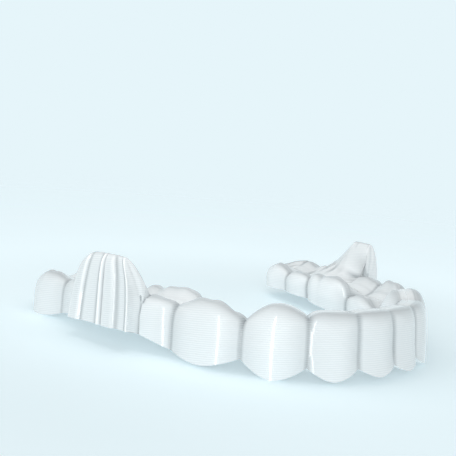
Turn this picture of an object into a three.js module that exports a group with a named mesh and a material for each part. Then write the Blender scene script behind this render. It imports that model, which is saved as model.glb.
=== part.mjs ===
// Lower clear aligner with a jaw-advancement wing over each first molar.
// One thermoformed plastic sheet, in millimetres. While it is shaped, z = 0 is the bite plane,
// +z points at the upper teeth, -y at the lips and +x at the wearer's left. At the end it is
// laid down on its gum edge.
import * as THREE from "three";

// Sheet
const wall = 0.7;
const insetEdge = 0.2; // share by which a cusp stands nearer to the middle on the inner skin
const insetReach = 0.85; // of the wall, by which the valleys of the inner skin are wider
const plasticColour = 0xe3eef2;

// Arch line, through the middle of the teeth: a cubic from between the front teeth to behind
// the last molar
const archHalfWidth = 21.9;
const archDepth = 43.9;
const frontRun = 15.45; // how far the arch keeps straight across the front
const sideRun = 29.35; // how far it keeps straight along the molars
const sideFlare = 4.4; // how much it opens over that run

// Crown widths along the arch line, from the midline back: the last one ends the sheet
const widths = {
  right: [5.24, 5.75, 7.24, 9.0, 11.2, 8.2, 10.2],
  left: [5.24, 5.75, 7.24, 8.4, 10.8, 9.0, 5.0],
};

// Crowns from the midline back. Distances are from the arch line, heights from the bite plane.
// out is the lip and cheek side, in is the tongue side: edge is the biting edge or cusp,
// belly the widest place of the crown, rim the gum edge. bend below 1 makes a side full,
// above 1 hollow. square is how squarely the crown ends beside its neighbours.
const crowns = [
  {
    floor: -0.35, square: 4, cusps: 1,
    out: { edge: 1.0, tip: -0.4, belly: 2.7, bellyZ: -5.2, rim: 3.1, rimZ: -8.4, bend: 0.8 },
    in: { edge: 0.9, tip: -0.5, belly: 2.7, bellyZ: -6.0, rim: 3.3, rimZ: -7.4, bend: 1.5 },
  },
  {
    floor: -0.35, square: 4, cusps: 1,
    out: { edge: 1.0, tip: -0.4, belly: 2.8, bellyZ: -5.4, rim: 2.9, rimZ: -8.7, bend: 0.8 },
    in: { edge: 0.9, tip: -0.5, belly: 2.8, bellyZ: -6.0, rim: 3.4, rimZ: -7.6, bend: 1.5 },
  },
  {
    floor: 0.1, square: 1.9, cusps: 1,
    out: { edge: 1.1, tip: 0.3, belly: 3.5, bellyZ: -5.0, rim: 3.2, rimZ: -8.9, bend: 0.75 },
    in: { edge: 1.1, tip: 0.0, belly: 3.4, bellyZ: -5.6, rim: 3.8, rimZ: -7.2, bend: 1.2 },
  },
  {
    floor: -2.8, square: 2.1, cusps: 1,
    out: { edge: 2.0, tip: 0.0, belly: 4.6, bellyZ: -4.6, rim: 4.7, rimZ: -8.1, bend: 0.7 },
    in: { edge: 2.6, tip: -2.2, belly: 4.3, bellyZ: -4.8, rim: 4.2, rimZ: -6.6, bend: 0.7 },
  },
  {
    floor: -2.4, square: 2.6, cusps: 2,
    out: { edge: 2.8, tip: -0.6, belly: 5.2, bellyZ: -3.2, rim: 5.3, rimZ: -5.6, bend: 0.65 },
    in: { edge: 2.9, tip: -0.4, belly: 5.1, bellyZ: -3.4, rim: 4.8, rimZ: -5.7, bend: 0.65 },
  },
  {
    floor: -2.2, square: 3, cusps: 1,
    out: { edge: 2.9, tip: -0.3, belly: 5.3, bellyZ: -3.2, rim: 5.4, rimZ: -5.2, bend: 0.65 },
    in: { edge: 2.8, tip: -1.1, belly: 5.0, bellyZ: -3.2, rim: 4.8, rimZ: -5.0, bend: 0.65 },
  },
  {
    floor: -1.6, square: 2.4, cusps: 1,
    out: { edge: 2.8, tip: -0.3, belly: 4.9, bellyZ: -3.6, rim: 5.1, rimZ: -6.8, bend: 0.6 },
    in: { edge: 2.7, tip: -0.5, belly: 4.8, bellyZ: -3.0, rim: 4.7, rimZ: -4.9, bend: 0.65 },
  },
];

// Valleys between neighbouring crowns, the first at the midline: how deep the biting edge dips,
// how high the gum edge climbs, and how far the sides pull in
const valleys = [
  { dip: 0.15, climb: 1.1, pinchOut: 0.45, pinchIn: 0.5 },
  { dip: 0.25, climb: 1.3, pinchOut: 0.5, pinchIn: 0.5 },
  { dip: 0.8, climb: 1.6, pinchOut: 0.7, pinchIn: 0.6 },
  { dip: 2.2, climb: 1.7, pinchOut: 0.9, pinchIn: 0.8 },
  { dip: 1.3, climb: -0.3, pinchOut: 1.0, pinchIn: 1.1 },
  { dip: 0.9, climb: 0.1, pinchOut: 0.9, pinchIn: 1.1 },
  { dip: 1.0, climb: 0.1, pinchOut: 0.9, pinchIn: 0.5 },
];
const sideFullness = 2.4; // higher makes the sides flatter between sharper creases
const scallop = 1.6; // lower makes each crown's gum edge more pointed

// Knots of a crown's cross section between the named ones, as shares and degrees of an arc
const lowerKnot = { out: 0.6, up: 0.5 }; // from the gum edge to the belly
const arcKnots = [33, 56, 75]; // from the belly to the cusp
const slopeKnot = { out: 0.5, up: 0.35 }; // from the middle of the chewing surface to the cusp

// Groove between the two cusps of the first molar
const cuspGroove = { place: { right: 0.42, left: 0.05 }, depth: 0.7, sideDepth: 0.5, width: 0.2 };

// Rounded end behind the last molar
const endReach = 4.4;
const endDrop = { right: 1.3, left: -0.3 }; // how far the ridge there lies below the cusps
const endSquare = 2.4; // 2 makes the end an ellipse, more makes it squarer

// Wing over the first molar
const wing = {
  centre: 36.7, // along the arch from the midline
  halfBase: 5.8,
  taper: 0.4, // share of its width lost from gum edge to top
  out: 8.1, // outer face from the arch line
  draft: 0.5, // how far that face leans in towards the top
  thick: 2.7, // through the top, outside
  rimZ: -5.0,
  top: 4.35,
  shoulder: 2.2, // how far the top falls at its two corners
  squareness: 5, // how late it starts to fall
  rampOut: 3.6, // foot of the inner face at the back, a ramp, and at the front, a steep wall
  rampZ: -0.5,
  wallOut: 5.2,
  wallZ: -1.4,
  rampFrom: -0.5, // places across it between which the wall becomes the ramp
  rampTo: 0.2,
};

// Knots of the wing's cross section between the named ones
const faceKnots = [
  { up: 0.35, lean: 0.3 },
  { up: 0.68, lean: 0.7 },
];
const crestKnots = { outDrop: 0.75, outLean: 0.25, inDrop: 1.8, inLean: 0.1, least: 0.2 };

// Flutes of the wing's outer face: place across it, from -1 at the front to 1 at the back,
// and depth below its two proud lobes
const flutes = [
  [-1.0, 0.9],
  [-0.78, 0.1],
  [-0.64, 0.0],
  [-0.56, 0.35],
  [-0.26, 0.35],
  [-0.2, 0.05],
  [0.0, 0.0],
  [0.06, 0.2],
  [0.12, 1.3],
  [0.18, 0.2],
  [0.26, 0.35],
  [0.58, 0.35],
  [0.64, 0.0],
  [0.88, 0.15],
  [1.0, 0.9],
];
const wingFront = [-1.02, -0.74]; // where the wing grows out of the first molar
const wingBack = [0.93, 1.0]; // where its back face stands on the second molar

// Fineness of the mesh
const extraPlaces = [-1.06, -0.94, -0.86, 0.965, 1.05]; // more stations where the wing begins and ends
const steps = [6, 6, 8, 8, 9, 6, 5]; // stations on each crown, besides those of the flutes
const levels = [0, 1, 2, 3, 4, 5, 5.5, 6, 7]; // knots of a column that carry a vertex
const endColumns = 9;
const leastStep = 0.12; // between stations
const endMargin = 0.2; // between the last station but one and the end
const slopeLevel = 7;
const centreLevel = 8;

const { lerp, smoothstep, clamp, degToRad } = THREE.MathUtils;

const arch = new THREE.CubicBezierCurve(
  new THREE.Vector2(0, 0),
  new THREE.Vector2(frontRun, 0),
  new THREE.Vector2(archHalfWidth - sideFlare, archDepth - sideRun),
  new THREE.Vector2(archHalfWidth, archDepth),
);
arch.arcLengthDivisions = 400;
const archLength = arch.getLength();

const armOf = (s) => (s < 0 ? "right" : "left");
const startsOf = (row) => row.map((_, i) => row.slice(0, i).reduce((sum, w) => sum + w, 0));
const starts = { right: startsOf(widths.right), left: startsOf(widths.left) };
const endStation = (arm) => starts[arm].at(-1) + widths[arm].at(-1) - endReach;

// The place on the arch line at a signed distance from the midline, with the direction back
// along the row and the direction out to the cheek.
function stand(s) {
  const side = s < 0 ? -1 : 1;
  const along = Math.abs(s);
  const u = Math.min(along / archLength, 1);
  const point = arch.getPointAt(u);
  const back = arch.getTangentAt(u);
  point.addScaledVector(back, Math.max(along - archLength, 0));
  return {
    point: new THREE.Vector2(side * point.x, point.y),
    back: new THREE.Vector2(side * back.x, back.y),
    out: new THREE.Vector2(side * back.y, -back.x),
  };
}

// Which crown a station is on, and where: q runs from -1 at its front valley to 1 at its back.
// The last crown has no back valley.
function crownAt(s) {
  const arm = armOf(s);
  let index = crowns.length - 1;
  while (Math.abs(s) < starts[arm][index]) index -= 1;
  const q = (2 * (Math.abs(s) - starts[arm][index])) / widths[arm][index] - 1;
  return { index, q: index === crowns.length - 1 ? Math.min(q, 0) : q };
}

// The value of a crown size in the valley in front of crown i, which its neighbour shares.
function valleyValue(i, side, key) {
  const here = crowns[i][side][key];
  const before = crowns[Math.max(i - 1, 0)][side][key];
  const pinch = side === "out" ? valleys[i].pinchOut : valleys[i].pinchIn;
  if (key === "tip") return Math.min(here, before) - valleys[i].dip;
  if (key === "rimZ") return (here + before) / 2 + valleys[i].climb;
  if (key === "belly" || key === "rim") return (here + before) / 2 - pinch;
  return (here + before) / 2;
}

// A crown size at a station: full at the middle of the crown, the shared value in its valleys.
function crownValue(s, side, key) {
  const { index, q } = crownAt(s);
  const middle = crowns[index][side][key];
  if (q === 0) return middle;
  const power = { tip: crowns[index].square, rimZ: scallop }[key] ?? sideFullness;
  return lerp(valleyValue(q < 0 ? index : index + 1, side, key), middle, 1 - Math.abs(q) ** power);
}

function floorAt(s) {
  const { index, q } = crownAt(s);
  if (q === 0) return crowns[index].floor;
  const valley = q < 0 ? index : index + 1;
  const lower = Math.min(crowns[Math.max(valley - 1, 0)].floor, crowns[valley].floor);
  const bottom = Math.min(lower, valleyValue(valley, "in", "tip"));
  return lerp(bottom, crowns[index].floor, 1 - Math.abs(q) ** 3);
}

function grooveAt(s) {
  const { index, q } = crownAt(s);
  if (crowns[index].cusps === 1) return 0;
  return Math.exp(-(((q - cuspGroove.place[armOf(s)]) / cuspGroove.width) ** 2));
}

// One side of a crown's cross section: [distance out, height] from the gum edge over the
// cusp to the middle of the chewing surface. inset is 0 on the outer skin and the wall on the
// inner one, whose valleys and grooves are wider by a little less than that.
function crownColumn(s, side, inset) {
  const value = (key) => crownValue(s, side, key);
  const around = [-1, 0, 1].map((step) => s + step * inset * insetReach);
  const least = (key) => Math.min(...around.map((place) => crownValue(place, side, key)));
  const groove = Math.max(...around.map(grooveAt));
  const sideGroove = cuspGroove.sideDepth * groove;
  const edge = least("edge") * (1 - insetEdge * (inset / wall));
  const tip = least("tip") - cuspGroove.depth * groove - inset;
  const belly = least("belly") - sideGroove - inset;
  const bellyZ = value("bellyZ");
  const rim = least("rim") - sideGroove / 2 - inset;
  const rimZ = value("rimZ");
  const bend = value("bend");
  const floor = Math.min(...around.map(floorAt), tip + inset) - inset;
  const arc = (degrees) => {
    const turn = degToRad(degrees);
    const r = lerp(edge, belly, Math.cos(turn) ** bend);
    return [r, lerp(bellyZ, tip, Math.sin(turn))];
  };
  return [
    [rim, rimZ],
    [lerp(rim, belly, lowerKnot.out), lerp(rimZ, bellyZ, lowerKnot.up)],
    [belly, bellyZ],
    ...arcKnots.map(arc),
    [edge, tip],
    [edge * slopeKnot.out, lerp(floor, tip, slopeKnot.up)],
    [0, floor],
  ];
}

function fluteDepth(across) {
  const after = flutes.findIndex(([place]) => place >= across);
  if (after <= 0) return after === 0 ? flutes[0][1] : flutes.at(-1)[1];
  const [a, depthA] = flutes[after - 1];
  const [b, depthB] = flutes[after];
  return lerp(depthA, depthB, (across - a) / (b - a));
}

// The cheek side of the cross section where the wing stands.
function wingColumn(s, across, inset) {
  const crown = crownColumn(s, "out", inset);
  const reach = inset / wing.halfBase;
  const flute = Math.max(...[-reach, 0, reach].map((step) => fluteDepth(across + step)));
  const face = wing.out - flute - inset;
  const top = wing.top - wing.shoulder * Math.abs(across) ** wing.squareness - inset;
  const crest = wing.out - wing.draft - wing.thick / 2;
  const inner = wing.out - wing.draft - wing.thick + inset;
  const ramp = smoothstep(across, wing.rampFrom, wing.rampTo);
  const shoulderOut = face - wing.draft - crestKnots.outLean;
  const footOut = lerp(wing.wallOut, wing.rampOut, ramp) + inset / 2;
  const footZ = lerp(wing.wallZ, wing.rampZ, ramp) - inset * insetReach;
  return [
    [face, wing.rimZ],
    ...faceKnots.map(({ up, lean }) => [face - wing.draft * lean, lerp(wing.rimZ, top, up)]),
    [Math.max(shoulderOut, crest + crestKnots.least), top - crestKnots.outDrop],
    [crest, top],
    [inner + crestKnots.inLean, top - crestKnots.inDrop],
    [footOut, footZ],
    crown[slopeLevel],
    crown[centreLevel],
  ];
}

// How much of the wing there is at a place across it. Inside the sheet its ends lie a wall nearer
// to the middle.
function wingShare(across, inset) {
  const reach = inset / wing.halfBase;
  const front = smoothstep(across, wingFront[0] + reach, wingFront[1] + reach);
  return front * (1 - smoothstep(across, wingBack[0] - reach, wingBack[1] - reach));
}

// A skin's knots at a signed station, as points in space.
function columnAt(s, side, inset) {
  const fromCentre = Math.abs(s) - wing.centre;
  const across = fromCentre / wing.halfBase;
  const share = side === "out" ? wingShare(across, inset) : 0;
  const crown = crownColumn(s, side, inset);
  const winged = wingColumn(s, across, inset);
  const { point, back, out } = stand(s);
  const sign = side === "out" ? 1 : -1;
  return crown.map(([crownOut, crownZ], i) => {
    const r = lerp(crownOut, winged[i][0], share);
    const z = lerp(crownZ, winged[i][1], share);
    const height = clamp((z - wing.rimZ) / (wing.top - wing.rimZ), 0, 1);
    const squeeze = i < slopeLevel ? wing.taper * height * share * fromCentre : 0;
    const spot = point.clone().addScaledVector(out, sign * r).addScaledVector(back, -squeeze);
    return new THREE.Vector3(spot.x, spot.y, z);
  });
}

// A column of the rounded end: the last section turned about the end of the arch line.
function endColumn(s, turn, inset) {
  const { point, back, out } = stand(s);
  const outer = crownColumn(s, "out", inset);
  const inner = crownColumn(s, "in", inset);
  const stretch = (endReach - inset) / outer[2][0];
  const blend = (1 - Math.cos(turn)) / 2;
  const axes = [Math.abs(Math.cos(turn)), Math.sin(turn)];
  const squareness = (axes[0] ** endSquare + axes[1] ** endSquare) ** (-1 / endSquare);
  return outer.map(([r, z], i) => {
    const radius = lerp(r, inner[i][0], blend) * squareness;
    const drop = i > 3 && i < centreLevel ? endDrop[armOf(s)] * Math.sin(turn) : 0;
    const spot = point
      .clone()
      .addScaledVector(out, radius * Math.cos(turn))
      .addScaledVector(back, radius * stretch * Math.sin(turn));
    return new THREE.Vector3(spot.x, spot.y, lerp(z, inner[i][1], blend) - drop);
  });
}

// Stations of one arm, closer together towards the valleys and at every flute.
function armStations(arm) {
  const list = [];
  widths[arm].forEach((width, i) => {
    for (let k = 0; k < steps[i]; k += 1) {
      const q = Math.sin(Math.PI * (k / steps[i] - 0.5));
      list.push(starts[arm][i] + (width * (q + 1)) / 2);
    }
  });
  const places = [...flutes.map(([place]) => place), ...wingFront, ...wingBack, ...extraPlaces];
  places.forEach((place) => list.push(wing.centre + place * wing.halfBase));
  const sorted = list.filter((s) => s < endStation(arm) - endMargin).sort((a, b) => a - b);
  const spaced = sorted.filter((s, i) => i === 0 || s - sorted[i - 1] > leastStep);
  return [...spaced, endStation(arm)];
}

// All columns in order round the gum edge, each with the number of its centre point.
function allColumns(inset) {
  const right = armStations("right").slice(1);
  const stations = [...right.map((s) => -s).reverse(), ...armStations("left")];
  const last = stations.length - 1;
  const cheek = stations.map((s, i) => ({ knots: columnAt(s, "out", inset), centre: i }));
  const tongue = stations.map((s, i) => ({ knots: columnAt(s, "in", inset), centre: i })).reverse();
  const turns = Array.from({ length: endColumns }, (_, i) => (Math.PI * (i + 1)) / (endColumns + 1));
  const leftEnd = turns.map((turn) => ({
    knots: endColumn(stations[last], turn, inset),
    centre: last,
  }));
  const rightEnd = turns.map((turn) => ({
    knots: endColumn(stations[0], Math.PI - turn, inset),
    centre: 0,
  }));
  return [...cheek, ...leftEnd, ...tongue, ...rightEnd];
}

// The points of one skin: those of its columns from the gum edge up, then its centre points.
function skinPoints(columns) {
  const points = [];
  const centres = [];
  columns.forEach(({ knots, centre }) => {
    const curve = new THREE.CatmullRomCurve3(knots, false, "catmullrom", 0.5);
    levels.forEach((level) => points.push(curve.getPoint(level / centreLevel)));
    centres[centre] = knots[centreLevel];
  });
  return [...points, ...centres];
}

// The triangles of one skin, facing out.
function skinFaces(columns) {
  const rows = levels.length;
  const firstCentre = columns.length * rows;
  const faces = [];
  columns.forEach(({ centre }, j) => {
    const next = (j + 1) % columns.length;
    const a = j * rows;
    const b = next * rows;
    for (let k = 0; k < rows - 1; k += 1) {
      faces.push([a + k, b + k, b + k + 1], [a + k, b + k + 1, a + k + 1]);
    }
    const centreA = firstCentre + centre;
    const centreB = firstCentre + columns[next].centre;
    faces.push([a + rows - 1, b + rows - 1, centreA]);
    if (centreA !== centreB) faces.push([b + rows - 1, centreB, centreA]);
  });
  return faces;
}

// The sheet: its outer skin, its inner skin a wall inside it, and the cut edge between them.
function sheet() {
  const columns = allColumns(0);
  const outer = skinPoints(columns);
  const inner = skinPoints(allColumns(wall));
  const faces = skinFaces(columns);
  const count = outer.length;
  const index = faces.flat();
  faces.forEach(([a, b, c]) => index.push(a + count, c + count, b + count));
  columns.forEach((_, j) => {
    const a = j * levels.length;
    const b = ((j + 1) % columns.length) * levels.length;
    index.push(a, a + count, b + count, a, b + count, b);
  });
  const geometry = new THREE.BufferGeometry().setFromPoints([...outer, ...inner]);
  geometry.setIndex(index);
  return geometry;
}

// Lays the sheet down: it tips about x until the front and the back of its gum edge are level,
// then its lowest point is at z = 0 and its middle above the origin.
function layDown(geometry) {
  const position = geometry.getAttribute("position");
  const middle = archDepth / 2;
  const lowest = (isFront) => {
    let found = new THREE.Vector3(0, 0, Infinity);
    for (let i = 0; i < position.count; i += 1) {
      const point = new THREE.Vector3().fromBufferAttribute(position, i);
      if (point.y < middle === isFront && point.z < found.z) found = point;
    }
    return found;
  };
  let tilt = 0;
  for (let pass = 0; pass < 4; pass += 1) {
    const front = lowest(true);
    const back = lowest(false);
    const turn = -Math.atan2(back.z - front.z, back.y - front.y);
    geometry.rotateX(turn);
    tilt += turn;
  }
  geometry.computeBoundingBox();
  const { min, max } = geometry.boundingBox;
  const shift = [-(min.x + max.x) / 2, -(min.y + max.y) / 2, -min.z];
  geometry.translate(...shift);
  return { tilt, shift };
}

const geometry = sheet();
layDown(geometry);
geometry.computeVertexNormals();

const shell = new THREE.Mesh(
  geometry,
  new THREE.MeshStandardMaterial({
    color: plasticColour,
    roughness: 0.25,
    metalness: 0,
    transparent: true,
    opacity: 0.85,
  }),
);
shell.name = "aligner_shell";

const aligner = new THREE.Group();
aligner.add(shell);
export default aligner;
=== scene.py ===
# A clear lower aligner with its two wings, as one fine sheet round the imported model.
# The model is in metres, +Z up, lips towards -Y, the wearer's left towards +X.
import math

import bpy
import numpy as np
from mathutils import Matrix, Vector


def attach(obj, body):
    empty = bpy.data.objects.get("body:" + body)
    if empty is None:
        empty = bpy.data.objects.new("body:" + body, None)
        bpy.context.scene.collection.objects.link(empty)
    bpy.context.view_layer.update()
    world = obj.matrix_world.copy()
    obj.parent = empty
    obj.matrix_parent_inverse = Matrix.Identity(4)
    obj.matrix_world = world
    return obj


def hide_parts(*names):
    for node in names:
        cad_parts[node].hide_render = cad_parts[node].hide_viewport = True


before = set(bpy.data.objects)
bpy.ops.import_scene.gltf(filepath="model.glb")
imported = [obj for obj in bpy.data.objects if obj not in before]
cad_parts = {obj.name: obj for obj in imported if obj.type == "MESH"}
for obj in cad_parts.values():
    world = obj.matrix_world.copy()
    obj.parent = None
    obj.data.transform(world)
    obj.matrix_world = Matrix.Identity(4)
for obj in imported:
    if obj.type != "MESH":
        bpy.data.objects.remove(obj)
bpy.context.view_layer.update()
print("frame loaded")

millimetre = 0.001

# The sheet, in millimetres, with z = 0 at the bite plane
sheetValues = {
    "wall": 0.7,
    "wallSpread": 0.85,  # share of the wall by which the inner skin's valleys are wider
    "edgeInset": 0.2,  # share by which the inner skin's cusps stand nearer the middle
    "archHalfWidth": 21.9,
    "archDepth": 43.9,
    "frontRun": 15.45,  # this and the next two pull the arch line round at its front and back
    "sideRun": 29.35,
    "sideFlare": 4.4,
    "archSamples": 4001,
    "widths": {
        "right": [5.24, 5.75, 7.24, 9.0, 11.2, 9.4, 9.0],
        "left": [5.24, 5.75, 7.24, 7.7, 10.8, 5.7, 8.2],
    },
    "endReach": 4.4,
    "endDrop": {"right": 1.3, "left": 0.5},
    "endDropShare": [0.5, 1.5],  # on the cheek side and on the tongue side
    "endEdge": 0.5,  # share of the cusp's distance that is lost behind the last molar
    "endSquare": 2.4,
    "scallop": 1.6,
    "floorPower": 3,  # how suddenly the chewing surface falls into a valley
    "sharpAngle": 55,  # faces that meet at more degrees keep a sharp line
    "stationStep": 0.19,
    "fineStations": [30.6, 32.6, 0.06],  # from, to and step where the wing's front flank drops
    "endColumns": 46,
    "rowsPerKnot": 4,
    "columnKnots": 8,
}

# Crowns from the midline back: edge, tip, belly, bellyZ, rim, rimZ and bend of each side
crownKeys = ["edge", "tip", "belly", "bellyZ", "rim", "rimZ", "bend"]
crownValues = {
    "out": [
        [1.0, -0.4, 2.7, -5.2, 3.1, -8.4, 0.8],
        [1.0, -0.4, 2.8, -5.4, 2.9, -8.7, 0.8],
        [1.1, 0.3, 3.5, -5.0, 3.2, -8.9, 0.75],
        [2.0, 0.0, 4.6, -4.6, 4.7, -8.1, 0.7],
        [2.8, -0.65, 5.3, -3.2, 5.3, -5.6, 0.65],
        [2.9, -0.3, 5.3, -3.2, 5.4, -5.2, 0.65],
        [2.8, -0.3, 4.9, -3.6, 5.1, -6.8, 0.6],
    ],
    "in": [
        [0.9, -0.5, 2.7, -6.0, 3.3, -7.4, 1.5],
        [0.9, -0.5, 2.8, -6.0, 3.4, -7.6, 1.5],
        [1.1, 0.0, 3.4, -5.6, 3.8, -7.2, 1.2],
        [2.6, -2.2, 4.3, -4.8, 4.2, -6.6, 0.7],
        [2.9, -0.4, 5.1, -3.4, 4.8, -5.7, 0.65],
        [2.8, -1.1, 5.0, -3.2, 4.8, -5.0, 0.65],
        [2.7, -0.5, 4.8, -3.0, 4.7, -4.9, 0.65],
    ],
    "floor": [-0.35, -0.35, 0.1, -2.8, -2.4, -2.2, -1.6],
    "square": [4, 4, 1.9, 2.1, 6, 3, 2.4],  # how level the biting edge runs
    "fullness": [2.7, 2.6, 2.2, 2.3, 3.2, 2.4, 2.4],  # how full the belly stays towards the valleys
    "cusps": [1, 1, 1, 1, 2, 1, 1],
}

# Valleys in front of each crown
valleyValues = {
    "dip": [0.15, 0.25, 0.8, 2.2, 0.9, 0.9, 1.0],
    "climb": [1.1, 1.3, 1.6, 1.7, -0.3, 0.1, 0.1],
    "pinchOut": [0.55, 0.75, 0.85, 0.95, 1.0, 0.9, 0.6],
    "pinchIn": [0.5, 0.5, 0.6, 0.8, 1.1, 1.1, 0.5],
}


def lerp(a, b, t):
    return a + (b - a) * t


def smooth(t):
    t = np.clip(t, 0, 1)
    return t * t * (3 - 2 * t)


# The arch line as points, directions and lengths
def makeArch():
    v = sheetValues
    corners = np.array([
        [0, 0],
        [v["frontRun"], 0],
        [v["archHalfWidth"] - v["sideFlare"], v["archDepth"] - v["sideRun"]],
        [v["archHalfWidth"], v["archDepth"]],
    ])
    t = np.linspace(0, 1, v["archSamples"])[:, None]
    a, b, c, d = corners
    points = a * (1 - t) ** 3 + 3 * b * t * (1 - t) ** 2 + 3 * c * t**2 * (1 - t) + d * t**3
    slopes = 3 * (b - a) * (1 - t) ** 2 + 6 * (c - b) * t * (1 - t) + 3 * (d - c) * t**2
    slopes /= np.linalg.norm(slopes, axis=1)[:, None]
    lengths = np.concatenate([[0], np.cumsum(np.linalg.norm(np.diff(points, axis=0), axis=1))])
    return points, slopes, lengths


archPoints, archSlopes, archLengths = makeArch()


# Point, backward and outward direction at distances along the arch line of one arm
def standOn(arm, along):
    side = -1 if arm == "right" else 1
    point = np.stack([np.interp(along, archLengths, archPoints[:, i]) for i in (0, 1)], 1)
    back = np.stack([np.interp(along, archLengths, archSlopes[:, i]) for i in (0, 1)], 1)
    back /= np.linalg.norm(back, axis=1)[:, None]
    point += back * np.maximum(along - archLengths[-1], 0)[:, None]
    point[:, 0] *= side
    out = np.stack([side * back[:, 1], -back[:, 0]], 1)
    back = np.stack([side * back[:, 0], back[:, 1]], 1)
    return point, back, out


def crownStarts(arm):
    return np.concatenate([[0], np.cumsum(sheetValues["widths"][arm])[:-1]])


def endStation(arm):
    return sum(sheetValues["widths"][arm]) - sheetValues["endReach"]


# Which crown, and where on it: -1 at its front valley to 1 at its back one
def onCrown(arm, along):
    starts = crownStarts(arm)
    widths = np.array(sheetValues["widths"][arm])
    last = len(starts) - 1
    index = np.clip(np.searchsorted(starts, along, side="right") - 1, 0, last)
    q = 2 * (along - starts[index]) / widths[index] - 1
    return index, np.where(index == last, np.minimum(q, 0), q)


def valleyValue(side, key, valley):
    values = np.array(crownValues[side])[:, crownKeys.index(key)]
    here = values[valley]
    before = values[np.maximum(valley - 1, 0)]
    if key == "tip":
        return np.minimum(here, before) - np.array(valleyValues["dip"])[valley]
    if key == "rimZ":
        return (here + before) / 2 + np.array(valleyValues["climb"])[valley]
    if key in ("belly", "rim"):
        pinch = valleyValues["pinchOut" if side == "out" else "pinchIn"]
        return (here + before) / 2 - np.array(pinch)[valley]
    return (here + before) / 2


def crownValue(arm, along, side, key):
    along = np.abs(along)
    index, q = onCrown(arm, along)
    middle = np.array(crownValues[side])[:, crownKeys.index(key)][index]
    valley = np.clip(np.where(q < 0, index, index + 1), 0, len(valleyValues["dip"]) - 1)
    power = np.array(crownValues["fullness"])[index]
    if key == "tip":
        power = np.array(crownValues["square"])[index]
    if key == "rimZ":
        power = sheetValues["scallop"]
    return lerp(valleyValue(side, key, valley), middle, 1 - np.abs(q) ** power)


def floorValue(arm, along):
    along = np.abs(along)
    index, q = onCrown(arm, along)
    floors = np.array(crownValues["floor"])
    valley = np.clip(np.where(q < 0, index, index + 1), 0, len(floors) - 1)
    lower = np.minimum(floors[np.maximum(valley - 1, 0)], floors[valley])
    bottom = np.minimum(lower, valleyValue("in", "tip", valley))
    return lerp(bottom, floors[index], 1 - np.abs(q) ** sheetValues["floorPower"])


# The groove between the cusps of the first molars
cuspGroove = {
    "place": {"right": 0.42, "left": 0.3},
    "depth": {"right": 0.7, "left": 0.5},
    "sideDepth": {"right": 0.5, "left": 0.12},
    "width": 0.2,
}


def grooveValue(arm, along):
    index, q = onCrown(arm, np.abs(along))
    groove = np.exp(-(((q - cuspGroove["place"][arm]) / cuspGroove["width"]) ** 2))
    return np.where(np.array(crownValues["cusps"])[index] > 1, groove, 0)


# Sizes of one side of the crowns at places along an arm; inset is the wall on the inner skin
def crownSizes(arm, along, side, inset):
    reach = inset * sheetValues["wallSpread"]
    around = [along - reach, along, along + reach]

    def value(key):
        return crownValue(arm, along, side, key)

    def least(key):
        return np.minimum.reduce([crownValue(arm, place, side, key) for place in around])

    groove = np.maximum.reduce([grooveValue(arm, place) for place in around])
    sideGroove = cuspGroove["sideDepth"][arm] * groove
    edge = least("edge") * (1 - sheetValues["edgeInset"] * inset / sheetValues["wall"])
    tip = least("tip") - cuspGroove["depth"][arm] * groove - inset
    belly = least("belly") - sideGroove - inset
    bellyZ = value("bellyZ")
    rim = least("rim") - sideGroove / 2 - inset
    rimZ = value("rimZ")
    bend = value("bend")
    floors = [floorValue(arm, place) for place in around]
    floor = np.minimum(np.minimum.reduce(floors), tip + inset) - inset
    return edge, tip, belly, bellyZ, rim, rimZ, bend, floor


# Where a section's knots lie between rim, belly, edge and middle
sectionValues = {
    "rimToBelly": [0.6, 0.5],  # shares of the way, outwards and upwards
    "turns": [33, 56, 75],  # degrees round the bend from belly to edge
    "edgeToMiddle": [0.5, 0.35],
    "bellyKnot": 2,
    "innerKnot": 7,  # the first knot past the edge
}


# The nine knots of a section, from gum edge to middle
def knotsOf(edge, tip, belly, bellyZ, rim, rimZ, bend, floor):
    outwards, upwards = sectionValues["rimToBelly"]
    knots = [[rim, rimZ], [lerp(rim, belly, outwards), lerp(rimZ, bellyZ, upwards)], [belly, bellyZ]]
    for degrees in sectionValues["turns"]:
        turn = math.radians(degrees)
        knots.append([lerp(edge, belly, math.cos(turn) ** bend), lerp(bellyZ, tip, math.sin(turn))])
    inwards, upwards = sectionValues["edgeToMiddle"]
    knots += [[edge, tip], [edge * inwards, lerp(floor, tip, upwards)], [edge * 0, floor]]
    return np.stack([np.stack(knot, 1) for knot in knots], 1)


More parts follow.
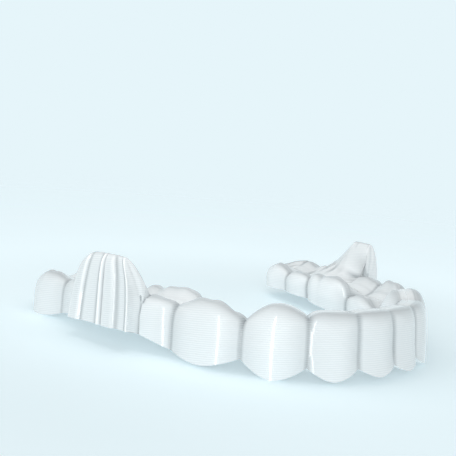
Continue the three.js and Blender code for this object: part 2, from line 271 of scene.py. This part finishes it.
# The wings: sizes in millimetres, places across them in shares of halfBase
wingValues = {
    "centre": 36.7,  # its place along the arch line
    "halfBase": 5.8,
    "taperFront": {"right": 0.4, "left": 0.25},
    "taperBack": 0.34,
    "taperBend": [3.8, 1.3],  # how late the two ends start to taper
    "out": 8.1,
    "draft": 0.5,
    "thick": 2.7,
    "rimZ": -5.0,
    "top": 4.35,
    "shoulderFront": 0.5,
    "shoulderBack": {"right": 2.0, "left": 4.4},
    "shoulderFrom": {"right": 0.0, "left": 0.12},
    "shoulderAt": 1.12,
    "shoulderMost": 1.1,  # past this share of shoulderAt the top falls no more
    "squareness": {"right": 4, "left": 1.2},
    "frontSquareness": 4,
    "faceLift": [0.35, 0.68],  # how high the two knots on the face lie
    "faceDraft": [0.3, 0.7],  # and how much of the draft they have
    "brow": [0.25, 0.2, 0.75],  # the knot before the crest: behind the face, off the crest, below it
    "nape": [0.1, 1.8],  # the knot after the crest: outside the inner wall, below the crest
    "rampOut": 3.6,
    "rampZ": -0.5,
    "wallOut": 5.2,
    "wallZ": -1.4,
    "rampFrom": -0.5,
    "rampTo": 0.2,
    "front": [-0.9, -0.9, -0.9, -0.91, -0.94, -0.97, -0.99, -0.99, -0.99],  # where each knot begins
    "frontRun": 0.09,
    "frontShift": {"right": 0.0, "left": 0.1},
    "frontLean": {"right": 0.9, "left": 0.0},  # how far the face stands ahead of its foot
    "leanFrom": 0.15,
    "leanRun": 0.6,
    "back": 1.0,
    "backRun": 0.12,
    "flutes": [  # places across the wing, and how deep its face lies there
        (-1.0, 0.5), (-0.88, 0.3), (-0.8, 0.0), (-0.72, 0.26), (-0.5, 0.32), (-0.43, 0.0),
        (-0.25, 0.05), (-0.17, 0.15), (-0.13, 0.9), (-0.09, 0.15), (-0.03, 0.0), (0.04, 0.36),
        (0.57, 0.36), (0.63, 0.0), (0.95, 0.12), (1.12, 0.9),
    ],
}


def fluteDepth(across):
    places, depths = np.array(wingValues["flutes"]).T
    after = np.clip(np.searchsorted(places, across), 1, len(places) - 1)
    t = (across - places[after - 1]) / (places[after] - places[after - 1])
    return lerp(depths[after - 1], depths[after], smooth(t))


# Cheek side cross sections where the wing stands
def wingSections(crown, arm, across, inset):
    w = wingValues
    reach = inset / w["halfBase"]
    flute = np.maximum.reduce([fluteDepth(across + step) for step in (-reach, 0, reach)])
    face = w["out"] - flute - inset
    start = w["shoulderFrom"][arm]
    most = w["shoulderMost"]
    past = np.minimum(np.maximum(across - start, 0) / (w["shoulderAt"] - start), most)
    before = np.minimum(np.maximum(-across, 0) / w["shoulderAt"], most)
    top = w["top"] - w["shoulderBack"][arm] * past ** w["squareness"][arm] - inset
    top = top - w["shoulderFront"] * before ** w["frontSquareness"]
    crest = face * 0 + w["out"] - w["draft"] - w["thick"] / 2
    inner = face * 0 + w["out"] - w["draft"] - w["thick"] + inset
    ramp = smooth((across - w["rampFrom"]) / (w["rampTo"] - w["rampFrom"]))
    knots = [[face, face * 0 + w["rimZ"]]]
    for lift, draft in zip(w["faceLift"], w["faceDraft"]):
        knots.append([face - w["draft"] * draft, lerp(w["rimZ"], top, lift)])
    behind, clear, below = w["brow"]
    knots.append([np.maximum(face - w["draft"] - behind, crest + clear), top - below])
    outside, below = w["nape"]
    knots += [[crest, top], [inner + outside, top - below]]
    footOut = lerp(w["wallOut"], w["rampOut"], ramp) + inset / 2
    footZ = lerp(w["wallZ"], w["rampZ"], ramp) - inset * sheetValues["wallSpread"]
    knots.append([footOut, footZ])
    made = np.stack([np.stack(knot, 1) for knot in knots], 1)
    return np.concatenate([made, crown[:, sectionValues["innerKnot"]:]], 1)


# How much of the wing there is at each knot: its front end slants in towards the tongue
def wingShare(arm, across, inset):
    w = wingValues
    reach = inset / w["halfBase"]
    front = np.array(w["front"]) + w["frontShift"][arm]
    rise = smooth((across[:, None] - front - reach) / w["frontRun"])
    fall = smooth((across - w["back"] + reach) / w["backRun"])
    return rise * (1 - fall)[:, None]


# Knots in space for the columns of one side of one arm
def armKnots(arm, along, side, inset):
    w = wingValues
    crown = knotsOf(*crownSizes(arm, along, side, inset))
    point, back, out = standOn(arm, along)
    fromCentre = along - w["centre"]
    across = fromCentre / w["halfBase"]
    share = wingShare(arm, across, inset) * (side == "out")
    section = lerp(crown, wingSections(crown, arm, across, inset), share[..., None])
    r, z = section[..., 0], section[..., 1]
    height = np.clip((z - w["rimZ"]) / (w["top"] - w["rimZ"]), 0, 1)
    isFront = (fromCentre < 0)[:, None]
    taper = np.where(isFront, w["taperFront"][arm], w["taperBack"])
    late = np.where(isFront, height ** w["taperBend"][0], height ** w["taperBend"][1])
    squeeze = late * share * taper * fromCentre[:, None]
    lean = w["frontLean"][arm] * smooth((-across - w["leanFrom"]) / w["leanRun"])[:, None] * share
    belly = crown[:, sectionValues["bellyKnot"], 0][:, None]
    squeeze += lean * np.maximum(r - belly, 0) / (w["out"] - belly)
    squeeze[:, sectionValues["innerKnot"]:] = 0
    sign = 1 if side == "out" else -1
    flat = point[:, None] + sign * r[..., None] * out[:, None] - squeeze[..., None] * back[:, None]
    return np.concatenate([flat, z[..., None]], 2)


# Knots of the rounded end of an arm, from its cheek side to its tongue side
def endKnots(arm, inset):
    v = sheetValues
    along = np.array([endStation(arm)])
    point, back, out = [value[0] for value in standOn(arm, along)]
    turn = np.pi * (np.arange(v["endColumns"]) + 1) / (v["endColumns"] + 1)
    blend = (1 - np.cos(turn)) / 2
    outer, inner = (crownSizes(arm, along, side, inset) for side in ("out", "in"))
    edge, tip, belly, bellyZ, rim, rimZ, bend = (
        lerp(outer[i], inner[i], blend) for i in range(len(outer) - 1)
    )
    behind = np.sin(turn)
    edge = edge * (1 - v["endEdge"] * behind)
    tip = tip - v["endDrop"][arm] * behind * lerp(*v["endDropShare"], blend)
    middle = np.full(v["endColumns"], outer[-1][0])  # every end column runs into the same point
    section = knotsOf(edge, tip, belly, bellyZ, rim, rimZ, lerp(bend, 1, behind), middle)
    stretch = (v["endReach"] - inset) / outer[sectionValues["bellyKnot"]][0]
    square = v["endSquare"]
    squareness = (np.abs(np.cos(turn)) ** square + behind**square) ** (-1 / square)
    radius, z = section[..., 0] * squareness[:, None], section[..., 1]
    turn = turn[:, None]
    flat = point + (radius * np.cos(turn))[..., None] * out
    flat = flat + (radius * stretch * np.sin(turn))[..., None] * back
    return np.concatenate([flat, z[..., None]], 2)


# Points along columns of knots, as a smooth curve through each column
def curveThrough(knots, places):
    before = 2 * knots[:, :1] - knots[:, 1:2]
    after = 2 * knots[:, -1:] - knots[:, -2:-1]
    padded = np.concatenate([before, knots, after], 1)
    index = np.minimum(places.astype(int), knots.shape[1] - 2)
    t = (places - index)[None, :, None]
    p0, p1, p2, p3 = (padded[:, index + i] for i in range(4))
    a = 2 * p1
    b = (p2 - p0) * t
    c = (2 * p0 - 5 * p1 + 4 * p2 - p3) * t**2
    d = (-p0 + 3 * p1 - 3 * p2 + p3) * t**3
    return (a + b + c + d) / 2


# Shallow hollows of the chewing surfaces
chewingRelief = {
    "firstCrown": 3,
    "depth": 0.22,
    "perCrown": 3.0,
    "from": 4.4,  # the hollows lie between these knots
    "to": 7.4,
}


# Small hollows across the chewing surfaces of the back teeth, on both skins alike
def addRelief(points, along, arm, places):
    index, q = onCrown(arm, along)
    isBack = (index >= chewingRelief["firstCrown"]).astype(float)
    wave = np.cos(q * np.pi * chewingRelief["perCrown"] / 2) ** 2 * isBack
    first, last = chewingRelief["from"], chewingRelief["to"]
    level = np.clip((places - first) / (last - first), 0, 1)
    bump = np.sin(level * np.pi) ** 2
    points[..., 2] -= chewingRelief["depth"] * wave[:, None] * bump[None]


# One skin as a closed ring of columns: cheek side right to left, left end, tongue side, right end
def makeSkin(inset):
    v = sheetValues
    rows = v["columnKnots"] * v["rowsPerKnot"] + 1
    places = np.linspace(0, v["columnKnots"], rows)
    sides = {}
    for arm in ("right", "left"):
        count = int(round(endStation(arm) / v["stationStep"]))
        along = np.linspace(0, endStation(arm), count + 1)
        along = np.unique(np.concatenate([along, np.arange(*v["fineStations"])]))
        for side in ("out", "in"):
            points = curveThrough(armKnots(arm, along, side, inset), places)
            addRelief(points, along, arm, places)
            sides[arm, side] = points
        sides[arm, "end"] = curveThrough(endKnots(arm, inset), places)
    ring = np.concatenate([
        sides["right", "out"][::-1],
        sides["left", "out"][1:],
        sides["left", "end"],
        sides["left", "in"][::-1],
        sides["right", "in"][1:],
        sides["right", "end"][::-1],
    ])
    cheek = len(sides["right", "out"]) + len(sides["left", "out"]) - 1
    end = v["endColumns"]
    centre = np.concatenate([
        np.arange(cheek),
        np.full(end, cheek - 1),
        np.arange(cheek)[::-1],
        np.zeros(end, int),
    ])
    return ring, centre


# Painted shade in hollows, on round edges and at biting edges, and a painted highlight on upright
# ridges
# Bends are per millimetre, and places are counted in knots from the gum edge
shadeValues = {
    "columns": 2,  # a bend is measured over so many columns to each side
    "leastStep": 0.14,  # closer columns than this don't count as sharp
    "hollow": [0.12, 1.0],  # painted shade darkens hollows from the first bend to the second
    "round": [0.38, 1.5],  # and round edges get painted shade too
    "roundShare": 0.5,
    "ridge": [0.45, 1.6],  # upright ridges get a painted highlight
    "ridgeShare": 0.9,
    "blur": 2,
    "wideBlur": 90,  # the soft painted shade of the crowns beside their valleys
    "wideShare": 1.35,
    "wingAbove": 0.8,  # a column that reaches this height stands on a wing
    "tipPlace": 5.2,  # a wide band of painted shade below the biting edge
    "tipSpread": 1.25,
    "tipShare": 0.62,
    "wingTip": 0.25,
    "edgePlace": 5.95,  # and a fine line of painted shade on it
    "edgeSpread": 0.38,
    "edgeShare": 0.66,
}


def blurColumns(values, times):
    for _ in range(times):
        values = (np.roll(values, 1, 0) + 2 * values + np.roll(values, -1, 0)) / 4
    return values


# Painted shade in hollows, on round edges and at biting edges, and a painted highlight on upright
# ridges, both from 0 to 1
def creaseShade(skin):
    v = shadeValues
    step = v["columns"]
    ahead, behind = np.roll(skin, -step, 0), np.roll(skin, step, 0)
    padded = np.concatenate([skin[:, :1], skin, skin[:, -1:]], 1)
    above, below = padded[:, 2:], padded[:, :-2]
    normal = np.cross(ahead - behind, above - below)
    normal /= np.linalg.norm(normal, axis=2)[..., None] + 1e-9
    bends = []
    for after, before in ((ahead, behind), (above, below)):
        rise = (((after + before) / 2 - skin) * normal).sum(2)
        bends.append(2 * rise / (((after - before) ** 2).sum(2) / 4 + v["leastStep"] ** 2))
    along, down = bends
    down[:, :1] = 0  # the cut edge has no row below it

    def ramp(values, ends):
        return smooth((values - ends[0]) / (ends[1] - ends[0]))

    share = ramp(np.maximum(along, down), v["hollow"])
    edge = ramp(-down, v["round"]) * v["roundShare"]
    # painted highlight on upright ridges
    ridge = blurColumns(ramp(-along, v["ridge"]), 1) * v["ridgeShare"]
    places = np.linspace(0, sheetValues["columnKnots"], skin.shape[1])
    tipPlaces = (places - v["tipPlace"]) / v["tipSpread"]
    edgePlaces = (places - v["edgePlace"]) / v["edgeSpread"]
    isCrown = (skin[..., 2].max(1) < v["wingAbove"]).astype(float)[:, None]
    tip = v["tipShare"] * np.exp(-tipPlaces**2) * lerp(v["wingTip"], 1, isCrown)
    line = v["edgeShare"] * np.exp(-edgePlaces**2) * isCrown
    shade = np.maximum.reduce([share, edge, tip, line])
    wide = blurColumns(share * isCrown, v["wideBlur"]) * v["wideShare"] * isCrown
    return np.clip(np.maximum(blurColumns(shade, v["blur"]), wide), 0, 1), ridge


# How the finished sheet lies on its gum edge
layDown = {"tilt": -3.19, "shift": [0.0, -21.6563, 9.1484]}


# Points turned and moved from the arch's own frame to where the sheet lies
def laidDown(points):
    tilt = math.radians(layDown["tilt"])
    turned = points.copy()
    turned[:, 1] = points[:, 1] * math.cos(tilt) - points[:, 2] * math.sin(tilt)
    turned[:, 2] = points[:, 1] * math.sin(tilt) + points[:, 2] * math.cos(tilt)
    return (turned + np.array(layDown["shift"])) * millimetre


# Faces of one skin: its columns share the points along the middle
def skinFaces(columns, rows, centre):
    faces = []
    firstCentre = columns * rows
    for j in range(columns):
        n = (j + 1) % columns
        a, b = j * rows, n * rows
        for k in range(rows - 1):
            faces.append((a + k, b + k, b + k + 1, a + k + 1))
        topA, topB = firstCentre + centre[j], firstCentre + centre[n]
        if topA == topB:
            faces.append((a + rows - 1, b + rows - 1, topA))
        else:
            faces.append((a + rows - 1, b + rows - 1, topB, topA))
    return faces


def makeSheetMesh():
    outer, centre = makeSkin(0.0)
    inner, _ = makeSkin(sheetValues["wall"])
    columns, rows = outer.shape[0], outer.shape[1] - 1
    centreColumns = np.unique(centre, return_index=True)[1]

    def onePerPoint(values):
        apart, shared = values[:, :-1], values[centreColumns, -1]
        size = (-1,) + values.shape[2:]
        return np.concatenate([apart.reshape(size), shared.reshape(size)])

    points = np.concatenate([onePerPoint(outer), onePerPoint(inner)])
    skinSize = len(points) // 2
    faces = skinFaces(columns, rows, centre)
    insideFaces = [tuple(i + skinSize for i in reversed(face)) for face in faces]
    rimFaces = []
    for j in range(columns):
        a, b = j * rows, (j + 1) % columns * rows
        rimFaces.append((a, a + skinSize, b + skinSize, b))
    mesh = bpy.data.meshes.new("alignerSheet")
    mesh.from_pydata(laidDown(points).tolist(), [], faces + insideFaces + rimFaces)
    # The painted shade and the painted highlight, alike on both skins
    for name, drawn in zip(("shade", "ridge"), creaseShade(outer)):
        values = onePerPoint(drawn).ravel()
        mesh.attributes.new(name, "FLOAT", "POINT").data.foreach_set("value", np.tile(values, 2))
    mesh.polygons.foreach_set("use_smooth", np.ones(len(mesh.polygons), bool))
    mesh.set_sharp_from_angle(angle=math.radians(sheetValues["sharpAngle"]))
    mesh.validate()
    mesh.update()
    return mesh


plasticValues = {
    "colour": (0.83, 0.86, 0.87, 1.0),
    # painted shade in creases and at biting edges
    "paintedShadeColour": (0.26, 0.285, 0.30, 1.0),
    # painted highlight on upright ridges
    "ridgeColour": (0.96, 0.975, 0.98, 1.0),
    "roughness": 0.26,
    "coat": 0.9,
    "coatRoughness": 0.05,
    "linePitch": 0.27,  # millimetres between the lines that the printed mould leaves
    "lineDirection": (0.017, 0.160, 0.987),  # the mould was printed a little off level
    "lineDepth": 0.012,
    "lineColour": (0.60, 0.66, 0.68, 1.0),
    "lineShare": 0.4,
    "flatFrom": 0.5,  # the lines fade from this upright part of the normal on
    "flatShare": 0.12,
    "waveSize": 3.6,
    "waveDetail": 2,
    "waveDepth": 0.03,
}


def addMath(nodes, operation, second=None):
    node = nodes.new("ShaderNodeMath")
    node.operation = operation
    if second is not None:
        node.inputs[1].default_value = second
    return node


def addColourMix(nodes, second):
    node = nodes.new("ShaderNodeMix")
    node.data_type = "RGBA"
    node.inputs["B"].default_value = second
    return node


def addAttribute(nodes, name):
    node = nodes.new("ShaderNodeAttribute")
    node.attribute_name = name
    return node


# The mould's level lines as a wave from -1 to 1, and how far the sheet is from lying flat
def addLines(nodes, links, place):
    v = plasticValues
    level = nodes.new("ShaderNodeVectorMath")
    level.operation = "DOT_PRODUCT"
    level.inputs[1].default_value = Vector(v["lineDirection"]).normalized()
    turns = addMath(nodes, "MULTIPLY", 2 * math.pi / (v["linePitch"] * millimetre))
    line = addMath(nodes, "SINE")
    links.new(place.outputs["Object"], level.inputs[0])
    links.new(level.outputs["Value"], turns.inputs[0])
    links.new(turns.outputs[0], line.inputs[0])

    facing = nodes.new("ShaderNodeSeparateXYZ")
    steep = nodes.new("ShaderNodeMapRange")
    steep.inputs["From Min"].default_value = v["flatFrom"]
    steep.inputs["To Min"].default_value = 1.0
    steep.inputs["To Max"].default_value = v["flatShare"]
    links.new(place.outputs["Normal"], facing.inputs[0])
    links.new(facing.outputs["Z"], steep.inputs["Value"])
    return line, steep


# Fine steps along the lines on a gently uneven face
def addBump(nodes, links, place, line, steep):
    v = plasticValues
    wave = nodes.new("ShaderNodeTexNoise")
    wave.inputs["Scale"].default_value = 1 / (v["waveSize"] * millimetre)
    wave.inputs["Detail"].default_value = v["waveDetail"]
    lineHeight = addMath(nodes, "MULTIPLY", v["lineDepth"] / 2 * millimetre)
    stepHeight = addMath(nodes, "MULTIPLY")
    height = addMath(nodes, "MULTIPLY_ADD", v["waveDepth"] * millimetre)
    bump = nodes.new("ShaderNodeBump")
    bump.inputs["Strength"].default_value = 1.0
    bump.inputs["Distance"].default_value = 1.0
    links.new(place.outputs["Object"], wave.inputs["Vector"])
    links.new(line.outputs[0], lineHeight.inputs[0])
    links.new(lineHeight.outputs[0], stepHeight.inputs[0])
    links.new(steep.outputs["Result"], stepHeight.inputs[1])
    links.new(wave.outputs["Fac"], height.inputs[0])
    links.new(stepHeight.outputs[0], height.inputs[2])
    links.new(height.outputs[0], bump.inputs["Height"])
    return bump


# The plastic's colour: painted shade in creases and at biting edges, tinted along the lines, a
# painted highlight on ridges
def addColour(nodes, links, line, steep):
    v = plasticValues
    paintedShadeMix = addColourMix(nodes, v["paintedShadeColour"])
    paintedShadeMix.inputs["A"].default_value = v["colour"]
    links.new(addAttribute(nodes, "shade").outputs["Fac"], paintedShadeMix.inputs["Factor"])

    tint = nodes.new("ShaderNodeMapRange")
    tint.inputs["From Min"].default_value = -1
    tint.inputs["To Max"].default_value = v["lineShare"]
    drawn = addMath(nodes, "MULTIPLY")
    lined = addColourMix(nodes, v["lineColour"])
    links.new(line.outputs[0], tint.inputs["Value"])
    links.new(tint.outputs["Result"], drawn.inputs[0])
    links.new(steep.outputs["Result"], drawn.inputs[1])
    links.new(drawn.outputs[0], lined.inputs["Factor"])
    links.new(paintedShadeMix.outputs["Result"], lined.inputs["A"])

    # painted highlight on upright ridges
    lit = addColourMix(nodes, v["ridgeColour"])
    links.new(addAttribute(nodes, "ridge").outputs["Fac"], lit.inputs["Factor"])
    links.new(lined.outputs["Result"], lit.inputs["A"])
    return lit


def makePlastic():
    v = plasticValues
    material = bpy.data.materials.new("clearSheet")
    material.use_nodes = True
    nodes, links = material.node_tree.nodes, material.node_tree.links
    shader = nodes["Principled BSDF"]
    shader.inputs["Roughness"].default_value = v["roughness"]
    shader.inputs["Coat Weight"].default_value = v["coat"]
    shader.inputs["Coat Roughness"].default_value = v["coatRoughness"]
    place = nodes.new("ShaderNodeTexCoord")
    line, steep = addLines(nodes, links, place)
    colour = addColour(nodes, links, line, steep)
    bump = addBump(nodes, links, place, line, steep)
    links.new(colour.outputs["Result"], shader.inputs["Base Color"])
    links.new(bump.outputs["Normal"], shader.inputs["Normal"])
    return material


def makeSheet():
    mesh = makeSheetMesh()
    sheet = bpy.data.objects.new("aligner_sheet", mesh)
    bpy.context.scene.collection.objects.link(sheet)
    mesh.materials.append(makePlastic())
    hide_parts("aligner_shell")
    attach(sheet, "root")
    print("sheet made:", len(mesh.polygons), "faces")
    return sheet


stageValues = {
    "background": (0.791, 0.913, 0.956, 1.0),
    "floorRadius": 0.3,
    "floorSides": 96,
    "floorColour": (0.62, 0.72, 0.755, 1.0),
    "floorGlow": [0.38, 0.61],  # under the object and further out
    "glowRun": [0.05, 0.25],  # shares of the radius between which the glow changes
    "fadeRun": [0.2, 0.95],  # and between which the floor fades into the background
    "skyTop": 0.26,
    "skyTopAt": 0.9,
    "skySide": 0.66,
}


# A value that runs from one number to another over a share of the floor's radius
def addFloorRun(nodes, links, far, curve, run, ends):
    node = nodes.new("ShaderNodeMapRange")
    node.interpolation_type = curve
    node.inputs["From Min"].default_value = stageValues["floorRadius"] * run[0]
    node.inputs["From Max"].default_value = stageValues["floorRadius"] * run[1]
    node.inputs["To Min"].default_value, node.inputs["To Max"].default_value = ends
    links.new(far.outputs["Value"], node.inputs["Value"])
    return node


def makeFloor():
    v = stageValues
    sides, radius = v["floorSides"], v["floorRadius"]
    bpy.ops.mesh.primitive_circle_add(vertices=sides, radius=radius, fill_type="NGON")
    floor = bpy.context.object
    floor.name = "floor"
    floor.visible_glossy = False
    floor.visible_shadow = False
    material = bpy.data.materials.new("paleFloor")
    material.use_nodes = True
    nodes, links = material.node_tree.nodes, material.node_tree.links
    shader = nodes["Principled BSDF"]
    shader.inputs["Base Color"].default_value = v["floorColour"]
    shader.inputs["Roughness"].default_value = 1.0
    shader.inputs["Specular IOR Level"].default_value = 0.0
    shader.inputs["Emission Color"].default_value = v["background"]
    place = nodes.new("ShaderNodeTexCoord")
    far = nodes.new("ShaderNodeVectorMath")
    far.operation = "LENGTH"
    links.new(place.outputs["Object"], far.inputs[0])
    fade = addFloorRun(nodes, links, far, "SMOOTHERSTEP", v["fadeRun"], [1.0, 0.0])
    glow = addFloorRun(nodes, links, far, "SMOOTHSTEP", v["glowRun"], v["floorGlow"])
    links.new(glow.outputs["Result"], shader.inputs["Emission Strength"])
    links.new(fade.outputs["Result"], shader.inputs["Alpha"])
    floor.data.materials.append(material)
    print("floor made")


# The sky lights the object, while the camera, gloss and clear things see the plain background
def makeSky():
    v = stageValues
    world = bpy.data.worlds.new("paleStudio")
    bpy.context.scene.world = world
    world.use_nodes = True
    nodes, links = world.node_tree.nodes, world.node_tree.links
    nodes.clear()
    place = nodes.new("ShaderNodeTexCoord")
    apart = nodes.new("ShaderNodeSeparateXYZ")
    level = nodes.new("ShaderNodeMapRange")
    level.inputs["From Max"].default_value = v["skyTopAt"]
    level.inputs["To Min"].default_value = v["skySide"]
    level.inputs["To Max"].default_value = v["skyTop"]
    sky = nodes.new("ShaderNodeBackground")
    sky.inputs["Color"].default_value = (1, 1, 1, 1)
    links.new(place.outputs["Generated"], apart.inputs[0])
    links.new(apart.outputs["Z"], level.inputs["Value"])
    links.new(level.outputs["Result"], sky.inputs["Strength"])

    path = nodes.new("ShaderNodeLightPath")
    isThrough = addMath(nodes, "MAXIMUM")
    isSeen = addMath(nodes, "MAXIMUM")
    links.new(path.outputs["Is Glossy Ray"], isThrough.inputs[0])
    links.new(path.outputs["Is Transmission Ray"], isThrough.inputs[1])
    links.new(path.outputs["Is Camera Ray"], isSeen.inputs[0])
    links.new(isThrough.outputs[0], isSeen.inputs[1])

    seen = nodes.new("ShaderNodeBackground")
    seen.inputs["Color"].default_value = v["background"]
    mix = nodes.new("ShaderNodeMixShader")
    output = nodes.new("ShaderNodeOutputWorld")
    links.new(isSeen.outputs[0], mix.inputs[0])
    links.new(sky.outputs[0], mix.inputs[1])
    links.new(seen.outputs[0], mix.inputs[2])
    links.new(mix.outputs[0], output.inputs["Surface"])
    print("sky made")


# A lamp with gloss shows only as a streak on the plastic, one without it only lights it
lampValues = {
    "strip": {
        "place": [-0.414, -0.205, 0.03],
        "aim": [-0.012, -0.016, 0.006],
        "size": [0.034, 0.62],
        "power": 0.46,
        "gloss": True,
    },
    "inside": {
        "place": [-0.012, 0.0, 0.045],
        "aim": [0.022, 0.008, 0.004],
        "size": [0.05, 0.05],
        "power": 0.0125,
        "gloss": False,
    },
}
sunValues = {"towards": [0.68, 0.66, -0.30], "spread": 40, "strength": 1.38}


def makeLamps():
    for name, v in lampValues.items():
        data = bpy.data.lights.new(name, "AREA")
        data.shape = "RECTANGLE"
        data.size, data.size_y = v["size"]
        data.energy = v["power"]
        lamp = bpy.data.objects.new(name, data)
        bpy.context.scene.collection.objects.link(lamp)
        lamp.location = v["place"]
        lamp.visible_camera = False
        lamp.visible_glossy = v["gloss"]
        lamp.visible_diffuse = not v["gloss"]
        away = lamp.location - Vector(v["aim"])
        lamp.rotation_euler = away.to_track_quat("Z", "Y").to_euler()
    v = sunValues
    data = bpy.data.lights.new("sun", "SUN")
    data.energy = v["strength"]
    data.angle = math.radians(v["spread"])
    sun = bpy.data.objects.new("sun", data)
    bpy.context.scene.collection.objects.link(sun)
    sun.visible_glossy = False
    sun.rotation_euler = Vector(v["towards"]).to_track_quat("-Z", "Y").to_euler()
    print("lamps made")


# Place, lens and sensor in millimetres, turn in degrees
cameraValues = {
    "place": [-79.607, -81.365, 30.266],
    "turn": [82.344, -5.266, -40.369],
    "lens": 60.777,
    "sensor": 36.0,
    "clipStart": 5,
}


def makeCamera():
    v = cameraValues
    data = bpy.data.cameras.new("camera")
    data.lens = v["lens"]
    data.sensor_width = v["sensor"]
    data.clip_start = v["clipStart"] * millimetre
    camera = bpy.data.objects.new("camera", data)
    bpy.context.scene.collection.objects.link(camera)
    camera.location = [value * millimetre for value in v["place"]]
    camera.rotation_euler = [math.radians(value) for value in v["turn"]]
    bpy.context.scene.camera = camera
    print("camera made")


makeCamera()
makeSheet()
makeFloor()
makeSky()
makeLamps()
bpy.context.scene.view_settings.view_transform = "Standard"
